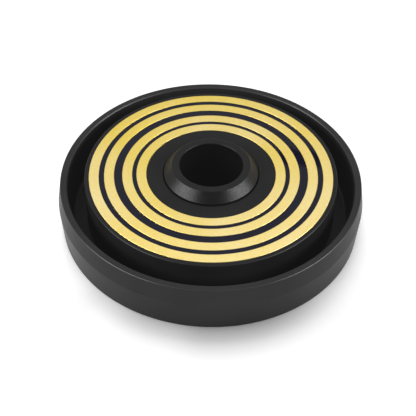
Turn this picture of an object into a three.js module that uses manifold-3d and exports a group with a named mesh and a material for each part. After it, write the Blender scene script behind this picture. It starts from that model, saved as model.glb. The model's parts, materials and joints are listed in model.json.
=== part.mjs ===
// Open half of a pancake slip ring: a drum with four flush contact rings turns on one ball bearing
// in a deep dish housing, and a shaft passes through its bored hub.
// Millimetres, +Z up. The origin is on the axis, in the plane the housing stands on.
import * as THREE from "three";
import { mergeVertices } from "three/addons/utils/BufferGeometryUtils.js";
import Module from "manifold-3d";

const wasm = await Module();
wasm.setup();

// ---------------------------------------------------------------------------
// Driving dimensions. Radii run outwards from the bore, heights run up from the foot.

// Fits
const seatGap = 0.1; // radial, between a piece and the seat that holds it
const faceGap = 0.05; // axial, between two faces that rest on each other
const crevice = 0.3; // radial, round the hub's nose where it comes through the drum
const runningGap = 1.1; // radial, between the turning hub and the still parts round it

// Hub
const boreRadius = 12.5;
const sleeveWall = 2.5;
const raceShoulder = 2.2; // step of the hub that the inner race seats on
const noseStep = 3.75; // how far the nose is wider than the sleeve
const noseHeight = 4.3; // nose above the ring plane
const noseConeWidth = 3.3;
const noseConeHeight = 3.75;
const boreChamfer = 0.35;
const sleeveFoot = 0.6; // lower end of the sleeve above the foot plane
const sleeveTail = 0.6; // sleeve below the circlip

// Contact rings
const landWidth = 6.8; // plain land between the hub's nose and the first ring
const ringWidth = 4.0;
const ringGaps = [1.6, 3.15, 2.0];
const lipWidth = 1.7;
const ringThickness = 2.4;
const ringProud = 0.12;

// Drum and board
const boardThickness = 5.0;
const webThickness = 2.0;
const skirtWall = 1.8;
const skirtClearance = 1.0; // under the skirt, above the housing's floor
const drumChamfer = 0.35;
const flangeThickness = 2.0;
const flangeMargin = 1.8; // flange edge inside the land's outer edge
const leadSpace = 2.4; // between the bearing boss and the hub's flange

// Bearing
const bearingWidth = 7.0;
const bearingSection = 6.0; // radial height from the sleeve to the seat
const ballDiameter = 4.0;
const ballCount = 12;
const raceClearance = 0.2; // radial, round each ball in its two grooves
const raceGapHalf = 1.1; // half the space between the two races' shoulders
const cageWall = 0.8;
const pocketClearance = 0.1;
const cageMargin = 0.65; // cage above and below the balls
const shieldThickness = 0.3;
const shieldInset = 0.1;
const shieldClearance = 0.25; // radial, round the inner race

// Circlip and washer under the inner race
const circlipThickness = 1.1;
const circlipDepth = 1.0; // into the sleeve
const circlipWidth = 3.2;
const circlipOpening = 7.0;
const clipHoleRadius = 0.6;
const washerThickness = 0.25;
const washerWave = 0.1;
const washerSpace = 0.65;
const washerWaves = 3;

// Housing
const floorThickness = 3.0;
const channelWidth = 7.05;
const rimWidth = 2.7;
const rimDrop = 2.5; // rim below the ring plane
const rimChamfer = 0.35;
const partingHeight = 12.8;
const upperDraft = 1.1;
const lowerDraft = 0.85;
const footChamfer = 0.4;
const wallDraft = 1.2; // inner wall, from the rim down to the fillet
const channelFillet = 1.5;
const bossWall = 5.4;
const bossLip = 1.45; // over the outer race

// Bearing cap
const capThickness = 1.6;
const capRecess = 1.9;
const capInset = 0.25; // cap above the foot plane
const capMargin = 1.6; // cap wider than the boss
const clipClearance = 0.8; // cap's opening wider than the circlip

// Fasteners and threaded inserts
const screwCount = 4;
const shankRadius = 1.25;
const headRadius = 2.3;
const headHeight = 1.3;
const headLand = 0.2; // straight edge of a countersunk head
const socketRadius = 0.9;
const socketDepth = 1.0;
const capScrewLength = 7.4;
const capScrewOffset = 0.3; // cap screws outside the middle of the boss's wall
const drumScrewLength = 6.8;
const threadClearance = 0.1;
const insertCount = 4;
const insertMargin = 11.6; // inserts' circle outside the bearing boss
const insertRadius = 3.0;
const insertHole = 2.0;
const insertLength = 6.0;
const insertWall = 1.5;
const insertRecess = 0.2; // insert above the foot plane
const cutOver = 1.0; // how far a cut runs past the face it opens

// Ring pins, leads and terminal block
const pinRadius = 0.9;
const pinTail = 2.0; // pin below the web
const solderMargin = 0.3; // solder cone inside the ring's edges
const solderHeight = 1.5;
const solderTip = 0.3; // solder round the pin at the cone's lower end
const pinHoleDepth = 1.4; // pin's hole above the floor of the ring's groove
const leadRadius = 0.7;
const leadDrop = 2.1; // lead's run below the pin's tip
const leadGap = 0.3;
const leadStub = 0.8; // straight end of a lead under its pin
const leadStraight = 3.0; // straight end of a lead before the block
const leadInsert = 0.7; // lead inside the block
const leadShares = [0.12, 0.35, 0.6, 0.8]; // of the way from the pin to the block
const blockLength = 12.0;
const blockWidth = 7.0;
const blockHeight = 5.6;
const blockOffset = 4.0; // block's inner face outside the boss
const blockHoleRadius = 1.0;
const blockHoleDepth = 2.0;
const entryShares = [0.25, 0.75]; // of the block's width, from its inner face
const blockScrewHead = 1.2;
const blockScrewHeadRadius = 2.2;
const blockSocketDepth = 0.7;
const blockScrewEnd = 0.6; // screw's tip below the top of the web
const blockHoleEnd = 0.4; // its hole's end below the top of the web
const blockAzimuth = -90;
const pinAzimuths = [-140, -40, -170, -10]; // one for each ring, from the inside out
const windowHeight = 2.0;
const windowWidth = 9.0;
const grommetInset = 0.2; // grommet back from the bore
const grommetWall = 0.5;
const grommetFlange = 0.8;

// Facets round a circle
const LARGE = 40;
const SMALL = 32;
const TUBE = 12;
const HOLE = 8;

// ---------------------------------------------------------------------------
// Places that follow from the sizes above

const sleeveRadius = boreRadius + sleeveWall;
const shoulderRadius = sleeveRadius + raceShoulder;
const noseRadius = sleeveRadius + noseStep;
const ringInner = [noseRadius + landWidth];
for (const gap of ringGaps) ringInner.push(ringInner.at(-1) + ringWidth + gap);
const boardInner = ringInner[0];
const boardOuter = ringInner.at(-1) + ringWidth;
const drumRadius = boardOuter + lipWidth;
const flangeRadius = boardInner - flangeMargin;
const solderRadius = ringWidth / 2 - solderMargin;

const seatRadius = sleeveRadius + bearingSection;
const bossRadius = seatRadius + bossWall;
const lipRadius = shoulderRadius + runningGap;
const pitchRadius = sleeveRadius + bearingSection / 2;
const innerFace = pitchRadius - raceGapHalf; // outer radius of the inner race's end faces
const outerFace = pitchRadius + raceGapHalf; // inner radius of the outer race's end faces
const grooveFloor = sleeveRadius - circlipDepth;
const clipOuter = grooveFloor + circlipWidth;
const rimInner = drumRadius + channelWidth;
const rimOuter = rimInner + rimWidth;
const partingRadius = rimOuter + upperDraft;
const footRadius = partingRadius - lowerDraft;

const circlipBottom = sleeveFoot + sleeveTail;
const circlipTop = circlipBottom + circlipThickness;
const bearingBottom = circlipTop + washerSpace;
const bearingTop = bearingBottom + bearingWidth;
const bossTop = bearingTop + bossLip;
const flangeBottom = bossTop + leadSpace;
const webBottom = flangeBottom + flangeThickness;
const webTop = webBottom + webThickness;
const ringPlane = webTop + boardThickness;
const noseTop = ringPlane + noseHeight;
const rimTop = ringPlane - rimDrop;
const drumFoot = floorThickness + skirtClearance;

// ---------------------------------------------------------------------------
// Materials

const finish = (color, roughness, metalness) =>
  new THREE.MeshStandardMaterial({ color, roughness, metalness });
const shellPlastic = finish(0x2b2b2c, 0.55, 0);
const drumPlastic = finish(0x29292a, 0.55, 0);
const hubPlastic = finish(0x2a2a2b, 0.42, 0);
const boardEpoxy = finish(0x1c1d24, 0.18, 0);
const ringBrass = finish(0xe0c070, 0.38, 1);
const bearingSteel = finish(0xb8bcc2, 0.25, 1);
const blackSteel = finish(0x1d1d20, 0.4, 1);
const cagePolymer = finish(0x6d5a32, 0.6, 0);
const solderTin = finish(0xc4c6c8, 0.35, 1);
const sealRubber = finish(0x141414, 0.8, 0);
const blockPlastic = finish(0xd8d4c4, 0.5, 0);
const leadColours = [0xa02018, 0x1f1f22, 0x1f5f2c, 0xd0a818];

// ---------------------------------------------------------------------------
// Geometry helpers

const radians = THREE.MathUtils.degToRad;
const polar = (radius, azimuth, z) =>
  new THREE.Vector3(
    radius * Math.cos(radians(azimuth)),
    radius * Math.sin(radians(azimuth)),
    z,
  );

// A closed profile of [radius, height] points, turned round the Z axis.
function turned(points, facets = LARGE) {
  const area = points.reduce((sum, [r, z], i) => {
    const [r2, z2] = points[(i + 1) % points.length];
    return sum + r * z2 - r2 * z;
  }, 0);
  const ordered = area > 0 ? [...points] : [...points].reverse();
  const loop = [...ordered, ordered[0]].map(([r, z]) => new THREE.Vector2(r, z));
  return new THREE.LatheGeometry(loop, facets).rotateX(Math.PI / 2);
}

// A plain ring of rectangular section.
const ringOf = (inner, outer, bottom, top, facets = LARGE) =>
  turned([[inner, bottom], [outer, bottom], [outer, top], [inner, top]], facets);

// An upright round bar.
const bar = (radius, bottom, top, facets = HOLE) =>
  new THREE.CylinderGeometry(radius, radius, top - bottom, facets)
    .rotateX(Math.PI / 2)
    .translate(0, 0, (bottom + top) / 2);

const block = (x, y, z, centre) =>
  new THREE.BoxGeometry(x, y, z).translate(centre.x, centre.y, centre.z);

const at = (geometry, place) => geometry.clone().translate(place.x, place.y, place.z);

function solidOf(geometry) {
  const bare = new THREE.BufferGeometry();
  bare.setAttribute("position", geometry.getAttribute("position"));
  bare.setIndex(geometry.getIndex());
  const merged = mergeVertices(bare, 1e-4);
  return new wasm.Manifold(
    new wasm.Mesh({
      numProp: 3,
      vertProperties: merged.attributes.position.array,
      triVerts: new Uint32Array(merged.index.array),
    }),
  );
}

function geometryOf(solid) {
  const mesh = solid.getMesh();
  const geometry = new THREE.BufferGeometry();
  const positions = new Float32Array(mesh.numVert * 3);
  for (let i = 0; i < mesh.numVert; i++) {
    positions.set(mesh.vertProperties.subarray(i * mesh.numProp, i * mesh.numProp + 3), i * 3);
  }
  geometry.setAttribute("position", new THREE.BufferAttribute(positions, 3));
  geometry.setIndex(new THREE.BufferAttribute(mesh.triVerts, 1));
  return geometry;
}

const joined = (geometries) =>
  geometries.map(solidOf).reduce((whole, piece) => whole.add(piece));

// The first geometries joined, less the others.
const shaped = (added, removed) =>
  geometryOf(removed.map(solidOf).reduce((whole, tool) => whole.subtract(tool), joined(added)));

const spread = (count, start = 0) =>
  Array.from({ length: count }, (_, i) => start + (i * 360) / count);

const part = new THREE.Group();
function add(name, geometry, material) {
  const mesh = new THREE.Mesh(geometry, material);
  mesh.name = name;
  part.add(mesh);
  return mesh;
}

// ---------------------------------------------------------------------------
// Screws: countersunk, with a hexagon socket. The tip points up.

function screw(bottom, length) {
  const body = turned([
    [0, bottom],
    [headRadius, bottom],
    [headRadius, bottom + headLand],
    [shankRadius, bottom + headHeight],
    [shankRadius, bottom + length],
    [0, bottom + length],
  ], HOLE);
  return shaped([body], [bar(socketRadius, bottom - cutOver, bottom + socketDepth, 6)]);
}

// The hole for that screw, wider by the thread clearance.
function screwHole(bottom, length) {
  const c = threadClearance;
  return turned([
    [0, bottom - cutOver],
    [headRadius + c, bottom - cutOver],
    [headRadius + c, bottom + headLand + c],
    [shankRadius + c, bottom + headHeight + c],
    [shankRadius + c, bottom + length + c],
    [0, bottom + length + c],
  ], HOLE);
}

const capScrewCircle = seatRadius + bossWall / 2 + capScrewOffset;
const capBottom = capInset;
const capScrewPlaces = spread(screwCount, 45).map((a) => polar(capScrewCircle, a, 0));
const drumScrewCircle = (noseRadius + crevice + flangeRadius) / 2;
const drumScrewPlaces = spread(screwCount, 45).map((a) => polar(drumScrewCircle, a, 0));
const insertPlaces = spread(insertCount).map((a) => polar(bossRadius + insertMargin, a, 0));

// ---------------------------------------------------------------------------
// Housing dish: floor, two-way drafted wall with a flat rim, and the bearing boss

const filletArc = [0, 1, 2].map((i) => {
  const turn = (i * Math.PI) / 4;
  const cornerRadius = rimInner - wallDraft - channelFillet;
  const cornerHeight = floorThickness + channelFillet;
  return [
    cornerRadius + channelFillet * Math.cos(turn),
    cornerHeight - channelFillet * Math.sin(turn),
  ];
});
const capRadius = bossRadius + capMargin;

const housingBody = turned([
  [capRadius + seatGap, 0],
  [footRadius - footChamfer, 0],
  [footRadius, footChamfer],
  [partingRadius, partingHeight],
  [rimOuter, rimTop - rimChamfer],
  [rimOuter - rimChamfer, rimTop],
  [rimInner + rimChamfer, rimTop],
  [rimInner, rimTop - rimChamfer],
  ...filletArc,
  [bossRadius, floorThickness],
  [bossRadius, bossTop],
  [lipRadius, bossTop],
  [lipRadius, bearingTop + faceGap],
  [seatRadius + seatGap, bearingTop + faceGap],
  [seatRadius + seatGap, capRecess],
  [capRadius + seatGap, capRecess],
]);
const insertBosses = insertPlaces.map((p) =>
  at(bar(insertRadius + insertWall, floorThickness / 2, insertLength + insertWall, TUBE), p));
const insertHoles = insertPlaces.map((p) =>
  at(bar(insertRadius + seatGap, -cutOver, insertLength + faceGap, TUBE), p));
const capHoles = capScrewPlaces.map((p) => at(screwHole(capBottom, capScrewLength), p));
add("housing_dish",
  shaped([housingBody, ...insertBosses], [...insertHoles, ...capHoles]), shellPlastic);

insertPlaces.forEach((place, i) => {
  const sleeve = ringOf(insertHole, insertRadius, insertRecess, insertLength, TUBE);
  add(`mounting_insert_${i + 1}`, at(sleeve, place), ringBrass);
});

// ---------------------------------------------------------------------------
// Bearing cap: clamps the outer race from below

const capOpening = clipOuter + clipClearance;
const capBody = turned([
  [capOpening, capBottom],
  [capRadius, capBottom],
  [capRadius, capBottom + capThickness],
  [seatRadius - seatGap, capBottom + capThickness],
  [seatRadius - seatGap, bearingBottom - faceGap],
  [outerFace, bearingBottom - faceGap],
  [outerFace, capBottom + capThickness],
  [capOpening, capBottom + capThickness],
], SMALL);
add("bearing_cap", shaped([capBody], capHoles), blackSteel);
capScrewPlaces.forEach((place, i) =>
  add(`cap_screw_${i + 1}`, at(screw(capBottom, capScrewLength), place), bearingSteel));

// ---------------------------------------------------------------------------
// Ball bearing: two races, the balls in their cage, and two shields

const ballRadius = ballDiameter / 2;
const ballHeight = (bearingBottom + bearingTop) / 2;
const grooveRadius = ballRadius + raceClearance;
const grooveReach = Math.acos(raceGapHalf / grooveRadius);

// The groove's arc on the outer race, or mirrored about the pitch circle for the inner one.
const groove = (side) => [2, 1, 0, -1, -2].map((i) => {
  const turn = (i / 2) * grooveReach;
  return [
    pitchRadius + side * grooveRadius * Math.cos(turn),
    ballHeight + grooveRadius * Math.sin(turn),
  ];
});
const outerRace = turned([
  [seatRadius, bearingBottom],
  [seatRadius, bearingTop],
  [outerFace, bearingTop],
  ...groove(1),
  [outerFace, bearingBottom],
], SMALL);
const innerRace = turned([
  [sleeveRadius + seatGap, bearingBottom],
  [sleeveRadius + seatGap, bearingTop],
  [innerFace, bearingTop],
  ...groove(-1),
  [innerFace, bearingBottom],
], SMALL);
add("bearing_outer_race", outerRace, bearingSteel);
add("bearing_inner_race", innerRace, bearingSteel);

const shieldInner = innerFace + shieldClearance;
const shieldOuter = outerFace - seatGap;
const shieldLow = bearingBottom + shieldInset;
const shieldHigh = bearingTop - shieldInset - shieldThickness;
add("bearing_shield_lower",
  ringOf(shieldInner, shieldOuter, shieldLow, shieldLow + shieldThickness, SMALL), bearingSteel);
add("bearing_shield_upper",
  ringOf(shieldInner, shieldOuter, shieldHigh, shieldHigh + shieldThickness, SMALL), bearingSteel);

const cageBand = ringOf(
  pitchRadius - cageWall / 2, pitchRadius + cageWall / 2,
  ballHeight - ballRadius - cageMargin, ballHeight + ballRadius + cageMargin, SMALL);
const pocketRadius = (ballRadius + pocketClearance) / Math.cos(Math.PI / HOLE);
const pockets = spread(ballCount).map((azimuth) => {
  const hole = new THREE.CylinderGeometry(pocketRadius, pocketRadius, 4 * cageWall, HOLE);
  return at(hole.rotateZ(Math.PI / 2 + radians(azimuth)), polar(pitchRadius, azimuth, ballHeight));
});
add("bearing_cage", shaped([cageBand], pockets), cagePolymer);
spread(ballCount).forEach((azimuth, i) => {
  const ball = new THREE.IcosahedronGeometry(ballRadius, 1);
  add(`bearing_ball_${i + 1}`, at(ball, polar(pitchRadius, azimuth, ballHeight)), bearingSteel);
});

// ---------------------------------------------------------------------------
// Hub sleeve: chamfered nose, clamping flange, bearing journal and circlip groove

const windowMiddle = (bossTop + flangeBottom) / 2;
const hubBody = turned([
  [boreRadius, sleeveFoot + boreChamfer],
  [boreRadius + boreChamfer, sleeveFoot],
  [sleeveRadius, sleeveFoot],
  [sleeveRadius, circlipBottom - faceGap],
  [grooveFloor, circlipBottom - faceGap],
  [grooveFloor, circlipTop + faceGap],
  [sleeveRadius, circlipTop + faceGap],
  [sleeveRadius, bearingTop + faceGap],
  [shoulderRadius, bearingTop + faceGap],
  [shoulderRadius, flangeBottom],
  [flangeRadius, flangeBottom],
  [flangeRadius, webBottom - faceGap],
  [noseRadius, webBottom - faceGap],
  [noseRadius, noseTop - noseConeHeight],
  [noseRadius - noseConeWidth, noseTop],
  [boreRadius + boreChamfer, noseTop],
  [boreRadius, noseTop - boreChamfer],
]);
const wallMiddle = (boreRadius + shoulderRadius) / 2;
const windowPlace = polar(wallMiddle, blockAzimuth, windowMiddle);
const windowReach = shoulderRadius - boreRadius + 4 * cutOver;
const leadWindow = block(windowWidth, windowReach, windowHeight, windowPlace);
const drumScrewHoles = drumScrewPlaces.map((p) => at(screwHole(flangeBottom, drumScrewLength), p));
add("hub_sleeve", shaped([hubBody], [leadWindow, ...drumScrewHoles]), hubPlastic);

// Rubber lining of the window, cut to the wall it sits in.
const grommetOuter = block(
  windowWidth - 2 * seatGap, windowReach, windowHeight - 2 * seatGap, windowPlace);
const grommetInner = block(
  windowWidth - 2 * seatGap - 2 * grommetWall, windowReach + 2 * cutOver,
  windowHeight - 2 * seatGap - 2 * grommetWall, windowPlace);
const grommetZone = ringOf(
  boreRadius + grommetInset, shoulderRadius + grommetFlange, windowMiddle - windowHeight,
  windowMiddle + windowHeight, LARGE);
add("lead_grommet",
  geometryOf(solidOf(grommetOuter).intersect(solidOf(grommetZone)).subtract(solidOf(grommetInner))),
  sealRubber);

// ---------------------------------------------------------------------------
// Circlip and wave washer that hold the inner race up against the hub

const clipInner = grooveFloor + seatGap;
const clipMiddle = (clipInner + clipOuter) / 2;
const lugRadius = (clipOuter - clipInner) / 2;
const lugAngle = THREE.MathUtils.radToDeg((circlipOpening / 2 + lugRadius) / clipMiddle);
const clipOpening = block(
  circlipOpening, 4 * circlipWidth, 4 * circlipThickness,
  new THREE.Vector3(0, clipMiddle, (circlipBottom + circlipTop) / 2));
const clipHoles = [90 - lugAngle, 90 + lugAngle].map((a) =>
  at(bar(clipHoleRadius, circlipBottom - cutOver, circlipTop + cutOver), polar(clipMiddle, a, 0)));
add("hub_circlip",
  shaped([ringOf(clipInner, clipOuter, circlipBottom, circlipTop, SMALL)],
    [clipOpening, ...clipHoles]), blackSteel);

const washerMiddle = (circlipTop + bearingBottom) / 2;
const washer = ringOf(
  sleeveRadius + crevice, innerFace - seatGap,
  washerMiddle - washerThickness / 2, washerMiddle + washerThickness / 2, SMALL);
const washerPoints = washer.getAttribute("position");
for (let i = 0; i < washerPoints.count; i++) {
  const turn = Math.atan2(washerPoints.getY(i), washerPoints.getX(i));
  washerPoints.setZ(i, washerPoints.getZ(i) + washerWave * Math.cos(washerWaves * turn));
}
add("wave_washer", washer, bearingSteel);

// ---------------------------------------------------------------------------
// Drum: web, skirt, outer lip and inner land round the board's recess

const pinPlaces = ringInner.map((inner, i) => polar(inner + ringWidth / 2, pinAzimuths[i], 0));
const pinTip = webBottom - pinTail;
const ringBottom = ringPlane - ringThickness;
const pinHoleTop = ringBottom + pinHoleDepth;
const pinHoles = pinPlaces.map((p) => at(bar(pinRadius + seatGap, pinTip, pinHoleTop), p));
const drumBody = turned([
  [noseRadius + crevice, webBottom],
  [drumRadius - skirtWall, webBottom],
  [drumRadius - skirtWall, drumFoot],
  [drumRadius, drumFoot],
  [drumRadius, ringPlane - drumChamfer],
  [drumRadius - drumChamfer, ringPlane],
  [boardOuter + seatGap, ringPlane],
  [boardOuter + seatGap, webTop],
  [boardInner - seatGap, webTop],
  [boardInner - seatGap, ringPlane],
  [noseRadius + crevice, ringPlane],
]);
const blockScrewHole = at(
  bar(shankRadius + seatGap, webBottom - cutOver, webTop - blockHoleEnd),
  polar(bossRadius + blockOffset + blockWidth / 2, blockAzimuth, 0));
add("ring_drum", shaped([drumBody], [...drumScrewHoles, ...pinHoles, blockScrewHole]), drumPlastic);
drumScrewPlaces.forEach((place, i) =>
  add(`drum_screw_${i + 1}`, at(screw(flangeBottom, drumScrewLength), place), bearingSteel));

// ---------------------------------------------------------------------------
// Insulating board with a groove for each ring, and the rings in their grooves

const boardTop = [[boardOuter, webTop + faceGap], [boardOuter, ringBottom - faceGap]];
[...ringInner].reverse().forEach((inner, i) => {
  const innermost = i === ringInner.length - 1;
  boardTop.push([inner - (innermost ? 0 : seatGap / 2), ringBottom - faceGap]);
  if (innermost) return;
  const nextOuter = ringInner[ringInner.length - 2 - i] + ringWidth + seatGap / 2;
  boardTop.push([inner - seatGap / 2, ringPlane], [nextOuter, ringPlane]);
  boardTop.push([nextOuter, ringBottom - faceGap]);
});
const boardBody = turned([...boardTop, [boardInner, webTop + faceGap]]);
add("ring_board", shaped([boardBody], pinHoles), boardEpoxy);

ringInner.forEach((inner, i) => {
  const name = i + 1;
  const ring = ringOf(
    inner + seatGap / 2, inner + ringWidth - seatGap / 2, ringBottom, ringPlane + ringProud);
  add(`contact_ring_${name}`, ring, ringBrass);
  add(`ring_pin_${name}`,
    at(bar(pinRadius, pinTip, ringBottom - faceGap), pinPlaces[i]), ringBrass);
  const solder = turned([
    [pinRadius + faceGap, webBottom - solderHeight],
    [pinRadius + solderTip, webBottom - solderHeight],
    [solderRadius, webBottom - faceGap],
    [pinRadius + faceGap, webBottom - faceGap],
  ], HOLE);
  add(`solder_joint_${name}`, at(solder, pinPlaces[i]), solderTin);
});

// ---------------------------------------------------------------------------
// Terminal block under the web, its screw, and one lead from each pin

const blockInner = bossRadius + blockOffset;
const blockTop = webBottom - faceGap;
const blockPlace = polar(blockInner + blockWidth / 2, blockAzimuth, blockTop - blockHeight / 2);
const leadRun = pinTip - leadDrop;
const entryRows = entryShares.map((share) => blockInner + blockWidth * share);

// Where lead i goes into the block: odd ones on one side, even ones on the other.
const leadEntries = ringInner.map((_, i) => ({
  side: i % 2 ? 1 : -1,
  radius: entryRows[Math.floor(i / 2)],
}));
const entryHoles = leadEntries.map(({ side, radius }) =>
  new THREE.CylinderGeometry(blockHoleRadius, blockHoleRadius, 2 * blockHoleDepth, HOLE)
    .rotateZ(Math.PI / 2)
    .translate((side * blockLength) / 2, -radius, leadRun));
const blockScrewBore = at(
  bar(shankRadius + threadClearance, 0, ringPlane), new THREE.Vector3(blockPlace.x, blockPlace.y, 0));
add("terminal_block",
  shaped([block(blockLength, blockWidth, blockHeight, blockPlace)], [...entryHoles, blockScrewBore]),
  blockPlastic);

const screwFoot = blockTop - blockHeight;
const headFoot = screwFoot - blockScrewHead;
const blockScrew = turned([
  [0, headFoot],
  [blockScrewHeadRadius, headFoot],
  [blockScrewHeadRadius, screwFoot - faceGap],
  [shankRadius, screwFoot - faceGap],
  [shankRadius, webTop - blockScrewEnd],
  [0, webTop - blockScrewEnd],
], HOLE);
add("terminal_screw",
  at(shaped([blockScrew], [bar(socketRadius, headFoot - cutOver, headFoot + blockSocketDepth, 6)]),
    new THREE.Vector3(blockPlace.x, blockPlace.y, 0)), bearingSteel);

const leadSection = new THREE.Shape().absarc(0, 0, leadRadius, 0, 2 * Math.PI);
pinPlaces.forEach((pin, i) => {
  const { side, radius } = leadEntries[i];
  const startRadius = ringInner[i] + ringWidth / 2;
  const mouth = new THREE.Vector3((side * blockLength) / 2, -radius, leadRun);
  const straight = mouth.clone().setX(mouth.x + side * leadStraight);
  const endAzimuth = THREE.MathUtils.radToDeg(Math.atan2(straight.y, straight.x));
  const endRadius = Math.hypot(straight.x, straight.y);
  const route = [
    new THREE.Vector3(pin.x, pin.y, pinTip - leadGap),
    new THREE.Vector3(pin.x, pin.y, pinTip - leadGap - leadStub),
  ];
  for (const share of leadShares) {
    route.push(polar(
      THREE.MathUtils.lerp(startRadius, endRadius, share),
      THREE.MathUtils.lerp(pinAzimuths[i], endAzimuth, share),
      leadRun,
    ));
  }
  route.push(straight, mouth.clone().setX(mouth.x - side * leadInsert));
  const lead = new THREE.ExtrudeGeometry(leadSection, {
    steps: 16,
    curveSegments: 4,
    bevelEnabled: false,
    extrudePath: new THREE.CatmullRomCurve3(route, false, "centripetal"),
  });
  add(`ring_lead_${i + 1}`, lead, finish(leadColours[i], 0.5, 0));
});

export default part;
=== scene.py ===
# %% [markdown]
# # An open pancake slip ring
#
# A slip ring carries current into something that turns. This one is flat: four brass rings lie in the top
# of a drum, the drum turns on a ball bearing inside a deep dish, and a shaft passes through the hub.
# Nearly every piece of it was turned on a lathe or moulded in a turned mould, so nearly every piece here
# is a closed outline spun once round the Z axis.
#
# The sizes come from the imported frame. What the frame can't say, such as the radius of an edge, is named
# in millimetres beside the piece that uses it.

import json
import math

import bmesh
import bpy
from mathutils import Matrix, Vector

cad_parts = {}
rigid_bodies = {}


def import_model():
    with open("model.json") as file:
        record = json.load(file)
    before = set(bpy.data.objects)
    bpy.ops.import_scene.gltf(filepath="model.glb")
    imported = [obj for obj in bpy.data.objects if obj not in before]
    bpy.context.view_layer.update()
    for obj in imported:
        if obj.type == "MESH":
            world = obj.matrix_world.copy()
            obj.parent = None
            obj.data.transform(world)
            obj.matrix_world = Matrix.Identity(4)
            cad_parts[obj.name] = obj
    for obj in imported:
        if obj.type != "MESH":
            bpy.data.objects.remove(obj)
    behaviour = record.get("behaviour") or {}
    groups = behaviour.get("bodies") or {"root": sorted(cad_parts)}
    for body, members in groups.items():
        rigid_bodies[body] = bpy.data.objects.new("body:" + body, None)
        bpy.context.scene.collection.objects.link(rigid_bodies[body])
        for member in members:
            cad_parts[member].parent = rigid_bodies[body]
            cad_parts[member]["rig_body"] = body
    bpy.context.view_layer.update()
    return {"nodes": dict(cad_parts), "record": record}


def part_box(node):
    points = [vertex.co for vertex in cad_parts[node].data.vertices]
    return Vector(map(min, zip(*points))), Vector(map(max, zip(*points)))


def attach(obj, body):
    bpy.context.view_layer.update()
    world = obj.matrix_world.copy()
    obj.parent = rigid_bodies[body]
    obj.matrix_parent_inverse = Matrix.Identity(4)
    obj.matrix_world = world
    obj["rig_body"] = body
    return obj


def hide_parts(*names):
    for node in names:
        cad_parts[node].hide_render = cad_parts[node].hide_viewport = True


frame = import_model()
MM = 0.001


def half_width(node):
    """The outer radius, in millimetres, of a piece that is centred on the axis."""
    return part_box(node)[1].x / MM


def bottom_of(node):
    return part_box(node)[0].z / MM


def top_of(node):
    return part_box(node)[1].z / MM


def middle_of(node):
    """The centre of a small piece's box, in millimetres, with its height left at zero."""
    low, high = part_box(node)
    return Vector(((low.x + high.x) / 2, (low.y + high.y) / 2, 0)) / MM


FOUR = range(1, 5)
ring_plane = top_of("ring_drum")
drum_radius = half_width("ring_drum")

# %% [markdown]
# ## Camera
#
# The camera looks down at the rings from about forty-five degrees, a little over forty centimetres away.
# It could be aimed with a Track To constraint, but a matrix of three directions says the same and can't
# be changed by another object: right, up, and back towards the lens. A small roll finishes it.

# %% Camera
camera_elevation = math.radians(44.67)
camera_roll = math.radians(0.94)
camera_distance = 418.5 * MM
camera_aside = -0.98 * MM
camera_below = -14.09 * MM
camera_lens = 91.46
camera_nearest = 10 * MM
film_width = 36


def in_scene(name, data):
    """A new object that holds the data, linked into the scene."""
    made = bpy.data.objects.new(name, data)
    bpy.context.scene.collection.objects.link(made)
    return made


look_right = Vector((1, 0, 0))
look_back = Vector((0, -math.cos(camera_elevation), math.sin(camera_elevation)))
look_up = look_back.cross(look_right)

camera_data = bpy.data.cameras.new("studio_camera")
camera_data.sensor_width = film_width
camera_data.lens = camera_lens
camera_data.clip_start = camera_nearest
camera = in_scene("studio_camera", camera_data)
facing = Matrix((look_right, look_up, look_back)).transposed().to_4x4()
camera_place = (
    Vector((0, 0, ring_plane * MM))
    + look_back * camera_distance
    + look_right * camera_aside
    + look_up * camera_below
)
camera.matrix_world = (
    Matrix.Translation(camera_place) @ facing @ Matrix.Rotation(camera_roll, 4, "Z")
)
bpy.context.scene.camera = camera
print("camera at", [round(x, 3) for x in camera_place])

# %% [markdown]
# ## Floor and light
#
# Black plastic is lit by what it mirrors. Two wide soft boxes stand low at the left and the right, a third
# hangs behind and above, and the side of the camera stays dim, so that the front of the dish stays dark
# while its flanks catch the light. The floor is a sheet of white paper just under the foot.

# %% Floor
floor_half = 3.0
floor_drop = 0.02 * MM
floor_cells = 8
floor_bm = bmesh.new()
bmesh.ops.create_grid(floor_bm, x_segments=floor_cells, y_segments=floor_cells, size=floor_half)
floor_mesh = bpy.data.meshes.new("studio_floor")
floor_bm.to_mesh(floor_mesh)
floor_bm.free()
floor_mesh.transform(Matrix.Translation((0, 0, -floor_drop)))
floor = in_scene("studio_floor", floor_mesh)


def new_material(name, constants):
    """A material and its shader. What is the same all over is set on the shader's own sockets."""
    made = bpy.data.materials.new(name)
    made.use_nodes = True
    shader = made.node_tree.nodes["Principled BSDF"]
    for label, value in constants.items():
        shader.inputs[label].default_value = value
    return made, shader


paper, paper_shader = new_material(
    "studio_paper", {"Roughness": 0.9, "Specular IOR Level": 0.1, "Emission Strength": 1.0}
)
floor_mesh.materials.append(paper)
print("floor", 2 * floor_half, "m across")

# %% [markdown]
# The paper's colour is painted dark under the object, a painted shade, and it has no glow there, so that no
# light comes up the bore. Beside the object it glows a little, more on the two flanks and at the front left
# than in front, as paper does that is lit from the sides. The glow is painted light, weakest in front next
# to the foot, which paints a darker contact shadow there. More lamps could do it, but each would throw a
# shadow of its own. Each step below follows the distance from the axis or the direction, in the paper's own
# coordinates.


# %% Node helpers
def put(tree, kind, *inputs, **settings):
    """A node. Each input in turn is linked if it is a socket, set if it is a value, left if it is None."""
    made = tree.nodes.new(kind)
    for key, value in settings.items():
        setattr(made, key, value)
    for socket, value in zip(made.inputs, inputs):
        if isinstance(value, bpy.types.NodeSocket):
            tree.links.new(value, socket)
        elif value is not None:
            socket.default_value = value
    return made


def maths(tree, operation, *values):
    return put(tree, "ShaderNodeMath", *values, operation=operation).outputs[0]


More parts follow.
